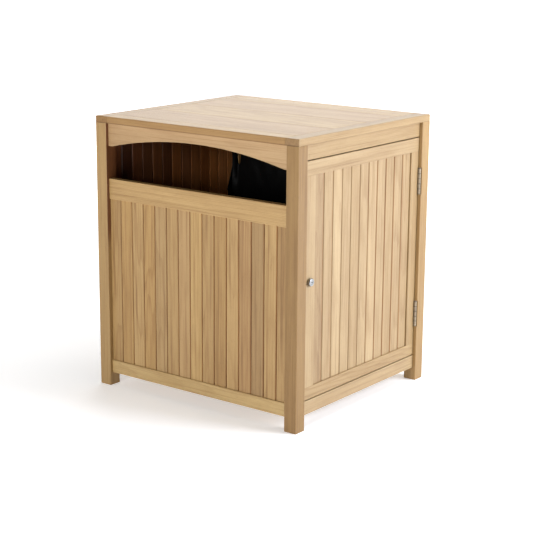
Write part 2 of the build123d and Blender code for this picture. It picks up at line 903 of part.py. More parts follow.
def make_lugs():
    """The four lugs that carry the drop handles."""
    wall = liner_half(handle_z, 0)
    outer = tub(0, liner_low, liner_high)
    rivets = rivet_set()
    lugs = []
    near = handle_half_width + handle_rod + lug_leg_gap
    for side, end in lug_places():
        pivot = (side * (wall + lug_reach), end * near, handle_z)
        ear = bar(pivot, (0, end, 0), lug_radius, lug_thickness)
        ear += block(
            (side * (wall - lug_reach), side * (wall + lug_reach)),
            (end * near, end * (near + lug_thickness)),
            (handle_z - lug_radius, handle_z + lug_radius),
        )
        plate = block(
            (side * (wall - lug_reach), side * (wall + lug_plate_thickness)),
            (end * near, end * (near + lug_thickness + lug_plate_length)),
            (handle_z - lug_plate_height / 2, handle_z + lug_plate_height / 2),
        )
        bore_length = lug_thickness + lug_plate_length
        bore = bar(pivot, (0, end, 0), handle_rod + handle_clearance, bore_length)
        lugs.append(ear + plate - bore - outer - rivets)
    return lugs


def make_handle(side):
    """A drop handle of bent rod, hanging from its lugs."""
    pivot_x = side * (liner_half(handle_z, 0) + lug_reach)
    reach = handle_half_width + handle_stub
    outline = [
        (-reach, 0),
        (-handle_half_width, 0),
        (-handle_half_width, -handle_drop),
        (handle_half_width, -handle_drop),
        (handle_half_width, 0),
        (reach, 0),
    ]
    points = [(pivot_x, y, handle_z + z) for y, z in outline]
    bends = [handle_stub_bend, handle_grip_bend, handle_grip_bend, handle_stub_bend]
    return wire_form(points, bends, handle_rod)


# ---- refuse sack
def make_flap():
    """The sack's back, drawn up behind the liner, with two loops for the hooks."""
    low = liner_high + flap_rise
    eye_height = hook_height - loop_eye_drop
    top = eye_height + loop_eye + loop_band
    left_hook, right_hook = hook_places
    sag_left = (left_hook + loop_shoulder, flap_shoulder)
    sag_right = (right_hook - loop_shoulder, flap_shoulder)
    middle = ((left_hook + right_hook) / 2, frame_top - flap_sag_drop)
    outline = Polyline(
        sag_left,
        (left_hook + loop_half_width, top),
        (left_hook - loop_half_width, top),
        (flap_left, flap_shoulder),
        (flap_left, low),
        (flap_right, low),
        (flap_right, flap_shoulder),
        (right_hook + loop_half_width, top),
        (right_hook - loop_half_width, top),
        sag_right,
    )
    sheet = make_face([*outline.edges(), *ThreePointArc(sag_right, middle, sag_left).edges()])
    hole_height = hook_height - loop_hole_low
    for x in hook_places:
        sheet -= Pos(x, loop_hole_low + hole_height / 2) * Ellipse(loop_hole_half_width, hole_height / 2)
        sheet -= Pos(x, eye_height) * Circle(loop_eye)
    upright = Plane(origin=(0, flap_y, 0), x_dir=(1, 0, 0), z_dir=(0, -1, 0))
    return extrude(upright * sheet, film)


def make_flap_slope():
    """The stretch of film from the liner's rear rim back to the upright flap."""
    near = liner_half_y + rim_width + film_gap
    half = liner_half_x - flap_slope_inset
    lower = Pos(0, near + film / 2, liner_high + film_gap) * Rectangle(2 * half, film)
    centre = (flap_left + flap_right) / 2
    upper = Pos(centre, flap_y - film / 2, liner_high + flap_rise) * Rectangle(flap_right - flap_left, film)
    return loft([lower, upper], ruled=True)


def make_wing():
    """The fold of film that runs from the liner's rear left corner out to the left wall and up."""
    rim = liner_half_x + rim_width + film_gap
    levels = (liner_high + film_gap, liner_high + wing_rise, loop_hole_low)
    lefts = (-rim - film, flap_left, flap_left)
    rears = (liner_half_y + rim_width + film_gap, flap_y, flap_y)
    sections = []
    for level, left, rear, reach in zip(levels, lefts, rears, wing_reaches):
        sections.append(Pos(left + film / 2, rear - reach / 2, level) * Rectangle(film, reach))
    return loft(sections, ruled=True)


def make_sack():
    """The refuse sack: it lines the liner, folds over the rim, and its back is held up by the hooks."""
    base = liner_low + liner_base_rise + film_gap
    fold = liner_high + film_gap + film
    inside = liner_wall + film_gap
    lining = tub(-inside, base, fold) - tub(-inside - film, base + film, fold + film)
    cuff = straight_tub(rim_width + film_gap + film, liner_high - cuff_drop, fold)
    cuff -= straight_tub(rim_width + film_gap, liner_high - cuff_drop, liner_high + film_gap)
    cuff -= tub(-inside - film / 2, base, fold + film)
    return lining + cuff + make_flap_slope() + make_flap() + make_wing()


def make_hooks():
    """Two wire hooks in the rear slats, each with a round collar."""
    hooks = []
    face = slat_inner_y
    tip_y = flap_y - film - hook_clearance
    for x in hook_places:
        points = [
            (x, face + hook_bite, hook_height),
            (x, tip_y, hook_height),
            (x, tip_y, hook_height + hook_tip),
        ]
        wire = wire_form(points, [hook_bend], hook_rod)
        collar = bar((x, face, hook_height), (0, -1, 0), hook_collar_radius, hook_collar_thickness)
        hooks.append(wire + collar)
    return hooks


# ---- the whole bin
def make_bin():
    """Every node by name."""
    nodes = dict(top_boards())
    for name, rail in rails.items():
        beam = make_rail(rail)
        if name == "arched_rail":
            beam -= arch_cut()
        if name == "top_rail_right":
            nodes[name] = in_wall(rail.wall) * beam - stop_screw_set(False)
        else:
            nodes[name] = in_wall(rail.wall) * beam
    nodes["frame_pegs"] = group([in_wall(r.wall) * peg(r, end) for r in rails.values() for end in (-1, 1)])

    hooks = make_hooks()
    for name, (wall, low, high) in slat_walls.items():
        row = make_slats(wall, low, high)
        if wall == "rear":
            row = [slat - hooks for slat in row]
        nodes[name] = group(row)
    nodes["sack_hooks"] = group(hooks)

    nodes["post_front_left"] = make_post(-1, -1)
    nodes["post_front_right"] = make_post(1, -1) - keep_screw_set(False)
    nodes["post_rear_left"] = make_post(-1, 1)
    nodes["post_rear_right"] = make_post(1, 1) - hinge_recesses() - hinge_screw_set("post", False)

    top_holes = top_screw_set(False)
    for name in list(nodes):
        if name.startswith("top_plank") or name in ("top_front_board", "top_rear_board"):
            nodes[name] -= top_holes
    nodes["top_battens"] = group([batten - top_holes for batten in make_battens()])
    nodes["top_screws"] = group(top_screw_set(True))

    floor_holes = floor_screw_set(False)
    nodes["floor_bearers"] = group([piece - floor_holes for piece in make_bearers()])
    nodes["floor_slats"] = group([piece - floor_holes for piece in make_floor_slats()])
    nodes["floor_screws"] = group(floor_screw_set(True))

    nodes["door_stop"] = make_stop()
    nodes["door_stop_screws"] = group(stop_screw_set(True))
    nodes["lock_keep"] = make_keep()
    nodes["lock_keep_screws"] = group(keep_screw_set(True))

    nodes.update(make_door())
    nodes["door_slats"] = group(make_door_slats())
    nodes["door_pegs"] = group(door_peg_set())

    for place, low in hinge_places.items():
        nodes[f"{place}_hinge_post_leaf"] = make_leaf("post", low)
        nodes[f"{place}_hinge_door_leaf"] = make_leaf("door", low)
        nodes[f"{place}_hinge_pin"] = make_pin(low)
    nodes["hinge_post_screws"] = group(hinge_screw_set("post", True))
    nodes["hinge_door_screws"] = group(hinge_screw_set("door", True))

    nodes["lock_body"] = make_lock_body()
    nodes["lock_nut"] = make_lock_nut()
    nodes["lock_plug"] = make_lock_plug()
    nodes["lock_cam"] = make_lock_cam()
    nodes["lock_cam_screw"] = make_cam_screw()

    nodes["liner"] = make_liner()
    nodes["liner_lugs"] = group(make_lugs())
    nodes["liner_rivets"] = group(rivet_set())
    nodes["liner_handle_left"] = make_handle(-1)
    nodes["liner_handle_right"] = make_handle(1)
    nodes["sack"] = make_sack()
    return nodes


os.makedirs("parts", exist_ok=True)
for node, shape in make_bin().items():
    export_step(shape, f"parts/{node}.step")
    print(node, round(shape.volume))
print("hinge axis", hinge_x, hinge_y, "lock axis", lock_y, lock_height)
print("handle axes", liner_half(handle_z, 0) + lug_reach, handle_z)
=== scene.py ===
from math import atan2, cos, exp, hypot, pi, radians, sin

import bmesh
import bpy
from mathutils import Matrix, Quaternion, Vector, noise


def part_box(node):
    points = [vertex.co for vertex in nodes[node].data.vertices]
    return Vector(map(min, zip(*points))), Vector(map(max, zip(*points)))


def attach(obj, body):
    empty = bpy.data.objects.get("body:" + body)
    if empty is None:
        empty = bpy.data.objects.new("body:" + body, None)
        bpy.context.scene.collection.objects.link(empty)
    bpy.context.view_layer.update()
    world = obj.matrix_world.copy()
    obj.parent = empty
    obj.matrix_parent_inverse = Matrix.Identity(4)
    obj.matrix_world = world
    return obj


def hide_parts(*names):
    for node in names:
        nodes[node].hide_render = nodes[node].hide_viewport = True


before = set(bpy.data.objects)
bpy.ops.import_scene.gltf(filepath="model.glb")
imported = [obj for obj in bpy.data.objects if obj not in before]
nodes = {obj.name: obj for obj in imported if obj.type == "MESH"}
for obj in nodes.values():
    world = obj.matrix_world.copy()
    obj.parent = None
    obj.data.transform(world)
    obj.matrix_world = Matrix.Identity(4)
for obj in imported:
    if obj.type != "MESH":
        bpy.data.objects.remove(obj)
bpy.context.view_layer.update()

X, Y, Z = 0, 1, 2

# ---------------------------------------------------------------- how the shaders are written


class Level:
    """One output of a shader node. Python's operators on it add the Math nodes that they mean."""

    def __init__(self, finish, output):
        self.finish = finish
        self.output = output

    def maths(self, operation, *operands):
        return self.finish.node("ShaderNodeMath", {"operation": operation}, operands)

    def __add__(self, other):
        return self.maths("ADD", self, other)

    def __mul__(self, other):
        return self.maths("MULTIPLY", self, other)

    def __sub__(self, other):
        return self.maths("SUBTRACT", self, other)

    def __rsub__(self, other):
        return self.maths("SUBTRACT", other, self)

    def __truediv__(self, other):
        return self.maths("DIVIDE", self, other)

    def __rtruediv__(self, other):
        return self.maths("DIVIDE", other, self)

    def __pow__(self, other):
        return self.maths("POWER", self, other)

    def __abs__(self):
        return self.maths("ABSOLUTE", self)

    __radd__ = __add__
    __rmul__ = __mul__

    def whole(self):
        return self.maths("FLOOR", self)

    def part(self):
        return self.maths("FRACT", self)

    def ramp(self, low, high):
        """0 below low, 1 above high, and a smooth step between them."""
        settings = {"interpolation_type": "SMOOTHSTEP"}
        return self.finish.node("ShaderNodeMapRange", settings, {0: self, 1: low, 2: high})


class Finish:
    """A material while its nodes are laid out."""

    def __init__(self, name):
        self.material = bpy.data.materials.new(name)
        self.material.use_nodes = True
        self.tree = self.material.node_tree
        self.tree.nodes.clear()

    def node(self, kind, settings=None, values=(), output=0):
        """Adds one node: first its settings, then the values or links of its sockets."""
        made = self.tree.nodes.new(kind)
        for key, value in (settings or {}).items():
            if key == "stops":
                self.set_stops(made.color_ramp, value)
            else:
                setattr(made, key, value)
        for key, value in values.items() if isinstance(values, dict) else enumerate(values):
            if isinstance(value, Level):
                self.tree.links.new(value.output, made.inputs[key])
            else:
                made.inputs[key].default_value = value
        return Level(self, made.outputs[output])

    @staticmethod
    def set_stops(ramp, stops):
        while len(ramp.elements) < len(stops):
            ramp.elements.new(1.0)
        for element, (position, colour) in zip(ramp.elements, stops):
            element.position = position
            element.color = colour

    def object_place(self):
        """The three object coordinates of a point, in metres."""
        place = self.node("ShaderNodeTexCoord", output="Object")
        return [self.node("ShaderNodeSeparateXYZ", values=[place], output=i) for i in (X, Y, Z)]

    def vector(self, x, y, z):
        return self.node("ShaderNodeCombineXYZ", values=[x, y, z])

    def noise(self, place, detail=2.0, roughness=0.5, distortion=0.0, scale=1.0):
        values = {
            "Vector": place,
            "Scale": scale,
            "Detail": detail,
            "Roughness": roughness,
            "Distortion": distortion,
        }
        return self.node("ShaderNodeTexNoise", None, values)

    def mix(self, factor, first, second, blend="MIX"):
        settings = {"data_type": "RGBA", "blend_type": blend}
        return self.node("ShaderNodeMix", settings, {0: factor, 6: first, 7: second}, output=2)

    def bump(self, height, distance, strength=1.0):
        values = {"Strength": strength, "Distance": distance, "Height": height}
        return self.node("ShaderNodeBump", None, values)

    def surface(self, **sockets):
        """Ends the material in one Principled surface. Underscores in the names stand for spaces."""
        values = {name.replace("_", " "): value for name, value in sockets.items()}
        surface = self.node("ShaderNodeBsdfPrincipled", None, values, output="BSDF")
        self.node_output(surface)
        return self.material

    def node_output(self, surface):
        end = self.tree.nodes.new("ShaderNodeOutputMaterial")
        self.tree.links.new(surface.output, end.inputs["Surface"])


def rgb(red, green, blue):
    return (red, green, blue, 1.0)


# ---------------------------------------------------------------- teak

LIGHT_TAN = rgb(0.470, 0.312, 0.128)
PALE_CREAM = rgb(0.540, 0.385, 0.190)
LIGHT_YELLOW = rgb(0.510, 0.345, 0.135)
TAN = rgb(0.395, 0.252, 0.098)
GREY_TAN = rgb(0.400, 0.268, 0.118)
WARM_TAN = rgb(0.292, 0.172, 0.056)
GREY_CREAM = rgb(0.490, 0.345, 0.150)
SOFT_CREAM = rgb(0.450, 0.300, 0.150)
DULL_TAN = rgb(0.380, 0.245, 0.094)
DARK_HEART = rgb(0.200, 0.112, 0.042)
DOOR_BROWN = rgb(0.300, 0.190, 0.090)
DOOR_TAN = rgb(0.398, 0.272, 0.128)
ROSE_CREAM = rgb(0.438, 0.312, 0.162)
PALEST = rgb(0.560, 0.420, 0.235)
GOLDEN = rgb(0.430, 0.262, 0.086)
DEEP_GOLDEN = rgb(0.350, 0.206, 0.066)
PINK_TAN = rgb(0.440, 0.285, 0.128)
REDDISH = rgb(0.372, 0.218, 0.088)
BROWN = rgb(0.295, 0.186, 0.080)
HEART_AND_PAINTED_SHADE = rgb(0.66, 0.55, 0.42)
STREAK_SHADE = rgb(0.60, 0.50, 0.38)
PORE_AND_PAINTED_SHADOW = rgb(0.45, 0.36, 0.28)
END_SHADE = rgb(0.62, 0.54, 0.46)
JOINT_SHADE = rgb(0.80, 0.56, 0.36)
# painted light for the rear of the inside, and painted shade for its front
INNER_PAINTED_LIGHT = rgb(1.30, 0.78, 0.58)
INNER_PAINTED_SHADE = rgb(0.46, 0.26, 0.20)

RING_PITCH = 0.0034
HEART_NEAR = 0.016
HEART_SPREAD = 0.060
JOINT_REACH = 0.0024
# how much painted shade a top board's front edge gets, and how high the painted shadow along the seam under
# it reaches
RIM_PAINTED_SHADE = 0.7
TOP_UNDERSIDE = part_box("top_front_board")[0].z
SEAM_SHADOW_HEIGHT = 0.0045

# the painted shade and painted light inside, for the light through the mouth: how far from the outer or
# inner skin it starts, how fast it reaches its full strength, and the spans over which it lightens towards
# the rear and grows towards the level of the mouth
PAINTED_SHADE_FROM_OUTER = 0.0015
PAINTED_SHADE_FROM_INNER = 0.001
PAINTED_SHADE_DEPTH = 0.0008
PAINTED_SHADE_TO_LIGHT_RUN = (-0.24, 0.26)
PAINTED_SHADE_RISE = (0.40, 0.48)


def teak(
    name, along, across, tones, seed,
    board=None, figure=0.5, streaks=0.35, joint=0.0, inside=None, rim=0.0,
):
    """Solid teak whose grain runs along one axis and whose wide face lies across another.

    board is (first edge, pitch) for a row of boards, which then each get their own tone and figure, and
    joint is how far the dark of the joints between them reaches. inside is the (axis, level) beyond which
    the wood is inside the cabinet, where it gets painted shade at the level of the mouth, most near the
    front, and painted light towards the rear. rim is how much painted shade a top board's front edge or end
    gets, most as a painted shadow along the seam under it.
    """
    finish = Finish(name)
    place = finish.object_place()
    deep = place[3 - along - across]
    run = place[along]
    wide = place[across]
    if board:
        first, pitch = board
        number = ((wide - first) / pitch).whole()
        wide = wide - first - (number + 0.5) * pitch
        count = len(tones)
        stops = [(i / count, tone) for i, tone in enumerate(tones)]
        tone = finish.node("ShaderNodeValToRGB", {"stops": stops}, [(number + 0.5) / count])
        tone.output.node.color_ramp.interpolation = "CONSTANT"
        number = number + seed
    else:
        tone = tones[0]
        number = float(seed)
    dice = finish.node("ShaderNodeTexWhiteNoise", {"noise_dimensions": "1D"}, {"W": number}, "Color")
    heart, depth, tilt = [
        finish.node("ShaderNodeSeparateColor", values=[dice], output=i) for i in range(3)
    ]
    shifted = run + heart * 5.0

    def grain(length_scale, width_scale, **kinds):
        return finish.noise(
            finish.vector(shifted * length_scale, wide * width_scale, deep * width_scale), **kinds
        )

    def darker(colour, amount, shade):
        return finish.mix(amount, colour, shade, blend="MULTIPLY")

    # growth rings round a heart that lies off to one side, which the faces cut at a slant
    wander = grain(3.2, 9.0, detail=2.0) - 0.5
    side = wide + (heart - 0.5) * 0.07 + wander * 0.016
    under = deep + HEART_NEAR + depth * HEART_SPREAD + (tilt - 0.5) * 0.05 * run + wander * 0.010
    radius = (side * side + under * under) ** 0.5
    ring = (radius / RING_PITCH + grain(2.0, 60.0) * 1.5).part()
    late = ring.ramp(0.45, 0.90) * (1.0 - ring.ramp(0.92, 1.0))

    drift = grain(1.6, 16.0, detail=3.0, roughness=0.6).ramp(0.30, 0.70)
    mottle = grain(7.0, 32.0, detail=3.0, roughness=0.6).ramp(0.40, 0.70)
    streak = grain(1.6, 75.0, detail=4.0, roughness=0.65).ramp(0.48, 0.70)
    line = grain(3.5, 260.0, detail=3.0, roughness=0.6).ramp(0.48, 0.70)
    fibre = grain(16.0, 900.0, detail=2.0)
    pore = grain(95.0, 1900.0, detail=1.0).ramp(0.64, 0.74)

    normal = finish.node("ShaderNodeTexCoord", output="Normal")

    def facing(axis, low, high):
        return abs(finish.node("ShaderNodeSeparateXYZ", values=[normal], output=axis)).ramp(low, high)

    end = facing(along, 0.75, 0.95)

    colour = darker(tone, drift * 0.30, HEART_AND_PAINTED_SHADE)
    colour = darker(colour, mottle * 0.26, HEART_AND_PAINTED_SHADE)
    colour = darker(colour, late * (figure * (0.15 + 0.85 * depth)), HEART_AND_PAINTED_SHADE)
    colour = darker(colour, streak * streaks, STREAK_SHADE)
    colour = darker(colour, line * 0.50, HEART_AND_PAINTED_SHADE)
    colour = darker(colour, fibre * 0.30, HEART_AND_PAINTED_SHADE)
    colour = darker(colour, pore * 0.50, PORE_AND_PAINTED_SHADOW)
    colour = darker(colour, end * 0.2, END_SHADE)
    if joint:
        groove = abs(wide).ramp(board[1] / 2 - joint, board[1] / 2 - joint / 3)
        colour = darker(colour, groove * 0.85, JOINT_SHADE)
    # painted shade on a top board's front edge or end, with a painted shadow along the seam under it
    if rim:
        edge = facing(Y, 0.3, 0.7)
        seam = 1.0 - (place[Z] - TOP_UNDERSIDE).ramp(0.0, SEAM_SHADOW_HEIGHT)
        colour = darker(colour, edge * rim, HEART_AND_PAINTED_SHADE)
        colour = darker(colour, edge * seam * rim, PORE_AND_PAINTED_SHADOW)
    # painted shade inside the cabinet at the level of the mouth, darkest near the front, and painted light
    # towards the rear
    if inside:
        axis, level = inside
        shade = finish.mix(place[Y].ramp(*PAINTED_SHADE_TO_LIGHT_RUN), INNER_PAINTED_SHADE, INNER_PAINTED_LIGHT)
        painted_shade = (place[axis] - level).ramp(0.0, PAINTED_SHADE_DEPTH) * place[Z].ramp(*PAINTED_SHADE_RISE)
        colour = darker(colour, painted_shade, shade)
    roughness = 0.44 + fibre * 0.12 + pore * 0.15 + end * 0.12
    height = fibre * 0.35 - pore * 0.8 - late * 0.25
    return finish.surface(
        Base_Color=colour, Roughness=roughness, Normal=finish.bump(height, 0.00035, 0.6)
    )


# ---------------------------------------------------------------- metals and film


def brushed_steel(name, along, tint=rgb(0.60, 0.59, 0.57), rough=0.26):
    finish = Finish(name)
    place = finish.object_place()
    scales = [1400.0, 1400.0, 1400.0]
    scales[along] = 40.0
    stretched = finish.vector(*[c * s for c, s in zip(place, scales)])
    brushing = finish.noise(stretched, detail=3.0)
    smudge = finish.noise(finish.vector(*place), detail=2.0, scale=90.0)
    colour = finish.mix(smudge * 0.35, tint, rgb(0.42, 0.41, 0.40))
    return finish.surface(
        Base_Color=colour,
        Metallic=1.0,
        Roughness=rough + brushing * 0.14 + smudge * 0.08,
        Normal=finish.bump(brushing, 0.00004, 0.5),
    )


def knuckled_steel(name, first, knuckle):
    """Dull cast steel, with painted shade in the joints between a hinge's knuckles."""
    finish = Finish(name)
    axes = finish.object_place()
    place = finish.vector(*axes)
    grit = finish.noise(place, detail=3.0, scale=700.0)
    tarnish = finish.noise(place, detail=3.0, scale=130.0).ramp(0.35, 0.70)
    joint = abs(((axes[Z] - first) / knuckle + 0.5).part() - 0.5)
    # painted shade in the gaps between the knuckles
    knuckle_gap_shade = 1.0 - joint.ramp(0.03, 0.11)
    colour = finish.mix(tarnish * 0.6, rgb(0.33, 0.265, 0.185), rgb(0.21, 0.16, 0.105))
    return finish.surface(
        Base_Color=finish.mix(knuckle_gap_shade * 0.8, colour, rgb(0.07, 0.052, 0.035)),
        Metallic=0.45,
        Roughness=0.40 + grit * 0.15 + tarnish * 0.10,
        Normal=finish.bump(grit - knuckle_gap_shade, 0.00015, 0.7),
    )


def polished_metal(name):
    finish = Finish(name)
    place = finish.vector(*finish.object_place())
    smudge = finish.noise(place, detail=3.0, scale=120.0)
    scratch = finish.noise(place, detail=1.0, scale=900.0, distortion=1.5).ramp(0.62, 0.70)
    return finish.surface(
        Base_Color=finish.mix(smudge * 0.5, rgb(0.37, 0.37, 0.37), rgb(0.22, 0.22, 0.22)),
        Metallic=1.0,
        Roughness=0.20 + smudge * 0.12 + scratch * 0.12,
        Normal=finish.bump(scratch, 0.00003, 0.4),
    )


def galvanised(name):
    finish = Finish(name)
    place = finish.vector(*finish.object_place())
    values = {"Vector": place, "Scale": 95.0, "Randomness": 1.0}
    spangle = finish.node("ShaderNodeTexVoronoi", None, values, "Color")
    flake = finish.node("ShaderNodeSeparateColor", values=[spangle], output=0)
    cloud = finish.noise(place, detail=4.0, scale=14.0)
    colour = finish.mix(flake * 0.7, rgb(0.29, 0.30, 0.31), rgb(0.44, 0.45, 0.46))
    colour = finish.mix(cloud * 0.5, colour, rgb(0.22, 0.23, 0.24))
    return finish.surface(
        Base_Color=colour,
        Metallic=1.0,
        Roughness=0.40 + flake * 0.14 + cloud * 0.12,
        Normal=finish.bump(flake, 0.00005, 0.5),
    )


def black_film(name):
    finish = Finish(name)
    place = finish.vector(*finish.object_place())
    cloud = finish.noise(place, detail=3.0, scale=25.0)
    crinkle = finish.noise(place, detail=4.0, scale=160.0, distortion=0.6)
    return finish.surface(
        Base_Color=finish.mix(cloud, rgb(0.0018, 0.0017, 0.0017), rgb(0.0044, 0.0042, 0.0040)),
        Roughness=0.42 + cloud * 0.14,
        Specular_IOR_Level=0.06,
        Normal=finish.bump(crinkle, 0.0008, 0.5),
    )


def wear(finish_material, *names):
    """Gives the named CAD nodes one material."""
    for name in names:
        for material_slot in nodes[name].material_slots:
            material_slot.material = finish_material


# posts: straight grain, each cut from its own plank
for seed, (name, tone) in enumerate(
    (
        ("post_front_left", DULL_TAN),
        ("post_front_right", WARM_TAN),
        ("post_rear_left", GOLDEN),
        ("post_rear_right", TAN),
    )
):
    # the front left post's inner face gets the inside's painted shade beside the mouth
    inside = (X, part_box(name)[1].x - PAINTED_SHADE_FROM_INNER) if name == "post_front_left" else None
    wear(teak(name, Z, X, [tone], 11 + seed, figure=0.7, streaks=0.4, inside=inside), name)

for seed, (name, along, across, tone, streaks) in enumerate(
    (
        ("top_front_board", X, Y, LIGHT_TAN, 0.3),
        ("top_plank_1", X, Y, PINK_TAN, 0.3),
        ("top_plank_2", X, Y, LIGHT_TAN, 0.35),
        ("top_plank_3", X, Y, PINK_TAN, 0.3),
        ("top_rear_board", X, Y, LIGHT_TAN, 0.3),
        ("top_end_left", Y, X, TAN, 0.4),
        ("top_end_right", Y, X, DOOR_TAN, 0.35),
        ("arched_rail", X, Z, SOFT_CREAM, 0.45),
        ("sill_rail", X, Z, LIGHT_TAN, 0.7),
        ("bottom_rail_front", X, Z, GREY_CREAM, 0.5),
        ("bottom_rail_rear", X, Z, GOLDEN, 0.4),
        ("top_rail_rear", X, Z, TAN, 0.4),
        ("bottom_rail_left", Y, Z, TAN, 0.4),
        ("top_rail_left", Y, Z, GOLDEN, 0.4),
        ("bottom_rail_right", Y, Z, ROSE_CREAM, 0.4),
        ("top_rail_right", Y, Z, DOOR_TAN, 0.4),
        ("door_top_rail", Y, Z, ROSE_CREAM, 0.4),
        ("door_bottom_rail", Y, Z, DOOR_TAN, 0.4),
        ("door_lock_stile", Z, Y, ROSE_CREAM, 0.3),
        ("door_hinge_stile", Z, Y, DOOR_TAN, 0.3),
        ("door_stop", Y, Z, TAN, 0.3),
        ("floor_bearers", X, Z, TAN, 0.3),
        ("top_battens", Y, X, TAN, 0.3),
    )
):
    # the top's front and end boards get painted shade on their front edges, with a painted shadow along the
    # seam under them
    rim = RIM_PAINTED_SHADE if name in ("top_front_board", "top_end_left", "top_end_right") else 0.0
    wear(teak(name, along, across, [tone], 31 + seed, streaks=streaks, rim=rim), name)


def evened(tones, share):
    """The tones of a row, each drawn towards their mean."""
    mean = [sum(tone[i] for tone in tones) / len(tones) for i in range(3)]
    return [rgb(*(tone[i] + (mean[i] - tone[i]) * share for i in range(3))) for tone in tones]


def row_of_slats(name, across, tones, seed, evenness=0.5, **kinds):
    """Gives the slats of a wall or the floor one teak, in which each slat has its own tone."""
    tones = evened(tones, evenness)
    low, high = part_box(name)
    pitch = (high[across] - low[across]) / len(tones)
    along = Y if name == "floor_slats" else Z
    wear(teak(name, along, across, tones, seed, board=(low[across], pitch), **kinds), name)


FRONT_TONES = [
    TAN, GOLDEN, LIGHT_TAN, GOLDEN, GREY_TAN, TAN, PINK_TAN, LIGHT_YELLOW,
    TAN, DEEP_GOLDEN, LIGHT_TAN, REDDISH, BROWN, LIGHT_TAN, TAN,
]
DOOR_TONES = [
    DOOR_BROWN, ROSE_CREAM, PALEST, ROSE_CREAM, DOOR_TAN, ROSE_CREAM,
    PALEST, ROSE_CREAM, DOOR_TAN, ROSE_CREAM, DOOR_TAN,
]
# the left wall's boards alternate in their own tones, and grow lighter towards the rear as painted light
# from the mouth
LEFT_TONES = [
    REDDISH, DARK_HEART, REDDISH, BROWN, TAN, DARK_HEART, GOLDEN,
    BROWN, TAN, DEEP_GOLDEN, GOLDEN, LIGHT_TAN, LIGHT_YELLOW,
]
# the first rear slat, in the left corner beside the sack, has the palest tone as painted light
REAR_TONES = [
    PALE_CREAM, LIGHT_TAN, GOLDEN, TAN, REDDISH, LIGHT_TAN, TAN, GOLDEN,
    PINK_TAN, TAN, BROWN, LIGHT_TAN, GOLDEN, TAN, LIGHT_TAN,
]
FLOOR_TONES = [TAN, GOLDEN, LIGHT_TAN, TAN, REDDISH, TAN, GOLDEN, TAN]

row_of_slats("front_slats", X, FRONT_TONES, 101, 0.4, joint=JOINT_REACH, streaks=0.60)
row_of_slats("rear_slats", X, REAR_TONES, 151, joint=JOINT_REACH, streaks=0.50)
# the left wall's inner face gets the inside's painted shade towards the front and painted light towards the
# rear
inside_left = (X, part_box("left_slats")[0].x + PAINTED_SHADE_FROM_OUTER)
row_of_slats("left_slats", Y, LEFT_TONES, 201, 0.0, joint=JOINT_REACH, streaks=0.50, inside=inside_left)
row_of_slats("door_slats", Y, DOOR_TONES, 251, 0.6, joint=JOINT_REACH, streaks=0.50)
row_of_slats("floor_slats", X, FLOOR_TONES, 301)

wear(teak("pegs", Z, X, [DEEP_GOLDEN], 61), "frame_pegs", "door_pegs")

KNUCKLES = 5
for level in ("upper", "lower"):
    hinge = [f"{level}_hinge_{piece}" for piece in ("post_leaf", "door_leaf", "pin")]
    low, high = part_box(hinge[0])
    wear(knuckled_steel(f"{level}_hinge_steel", low.z, (high.z - low.z) / KNUCKLES), *hinge)
wear(brushed_steel("keep_steel", Z), "lock_keep")
wear(
    brushed_steel("steel_screws", X, rgb(0.56, 0.55, 0.53), 0.30),
    "top_screws", "floor_screws", "door_stop_screws", "hinge_post_screws", "hinge_door_screws",
    "lock_keep_screws", "lock_cam_screw",
)
wear(brushed_steel("hook_wire", Z, rgb(0.58, 0.57, 0.55), 0.28), "sack_hooks")
wear(brushed_steel("handle_rod", Y, rgb(0.50, 0.51, 0.52), 0.34), "liner_handle_left", "liner_handle_right")
wear(polished_metal("lock_metal"), "lock_body", "lock_nut", "lock_plug", "lock_cam")
wear(galvanised("galvanised_steel"), "liner", "liner_lugs", "liner_rivets")

# ---------------------------------------------------------------- refuse sack

FILM_GRID = 0.009
SHARP_CREASE = radians(50)
HOOK_COLLAR = 0.005
RIM_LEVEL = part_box("liner")[1].z
CUFF_WITHIN = 0.0025
CUFF_X, CUFF_Y = [side - CUFF_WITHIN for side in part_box("liner")[1][:2]]

# how far the film moves, in metres, and how wide its folds and its tuck are
BELLY = 0.007
BACK_CREASE = 0.0042
BACK_CRINKLE = 0.0014
HOOK_FOLD = 0.0045
HOOK_FOLD_REACH = 0.15
TUCK_DEPTH = 0.023
TUCK_SHIFT = 0.019
TUCK_HALF_WIDTH = 0.026
HANG_WAVER = 0.0035
LINING_FOLD = 0.0085
LINING_CRINKLE = 0.0020
BASE_FOLD = 0.007
BASE_CRINKLE = 0.0015
CUFF_WAVE = 0.0042
HEM_WAVE = 0.0070

# where it moves: half sizes in x and y, and the spans over which it goes from held still
# to its full movement
LINING_HALF = (0.28, 0.245)
BASE_HALF = (0.262, 0.227)
CUFF_HALF = (0.292, 0.257)
BELLY_ABOVE_RIM = (0.02, 0.16)
FREE_ABOVE_RIM = (0.003, 0.045)
FREE_FROM_LEFT = (-0.3315, -0.290)
FREE_FROM_HOOK = (0.012, 0.050)
FOLD_FROM_HOOK = (0.014, 0.07)
TUCK_FOOT = (0.480, 0.590)
TUCK_HEAD = (0.612, 0.646)
TUCK_FROM_LEFT = (-0.3312, -0.300)
WAVER_HEIGHTS = (0.600, 0.640)
HANG_FOOT = (0.082, 0.110)
HANG_BELOW_RIM = (0.012, 0.080)
BASE_LEVEL = 0.086
BASE_RISE = (0.0, 0.005)
BASE_EDGE = (0.0, 0.03)
CUFF_BELOW_RIM = (0.010, 0.045)


def mesh_piece(name, shape):
    """Makes an object of a bmesh, at the origin, with its place in its mesh."""
    mesh = bpy.data.meshes.new(name)
    shape.to_mesh(mesh)
    shape.free()
    piece = bpy.data.objects.new(name, mesh)
    bpy.context.collection.objects.link(piece)
    return piece


